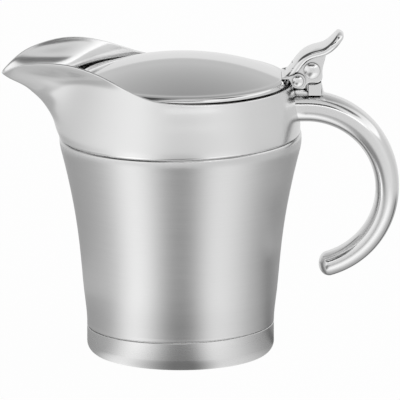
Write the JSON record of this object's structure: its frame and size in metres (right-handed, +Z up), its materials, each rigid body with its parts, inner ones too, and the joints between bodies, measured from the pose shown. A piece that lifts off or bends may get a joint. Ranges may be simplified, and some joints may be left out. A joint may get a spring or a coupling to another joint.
{
  "type": "insulated gravy boat",
  "caption": "Double-walled steel gravy boat with a broad open spout, an open C-shaped handle and a lid hinged on a thumb lever.",
  "frame": {"origin": "centre of the flat foot, on the surface the boat stands on", "axes": "+Z up, +X towards the handle, -X towards the spout, +Y to the far side"},
  "size_m": [0.1867, 0.1136, 0.1545],
  "materials": {
    "brushed_shell": "brushed round the body",
    "brushed_cap": "brushed round the body",
    "satin_liner": "satin",
    "polished_collar": "polished steel",
    "polished_lid": "polished steel",
    "polished_casting": "polished steel",
    "pin_steel": "polished steel"
  },
  "bodies": {
    "vessel": {"outer_shell": "brushed_shell", "base_cap": "brushed_cap", "inner_liner": "satin_liner", "spout_collar": "polished_collar", "handle": "polished_casting", "hinge_pin": "pin_steel"},
    "lid_assembly": {"lid": "polished_lid", "lid_bracket": "polished_casting", "thumb_lever": "polished_casting", "lever_rivet": "pin_steel"}
  },
  "joints": [
    {"name": "lid_hinge", "type": "hinge", "parent": "vessel", "child": "lid_assembly", "pos_m": [0.0616, 0, 0.1372], "axis": [0, 1, 0], "range_deg": [0, 72]}
  ]
}
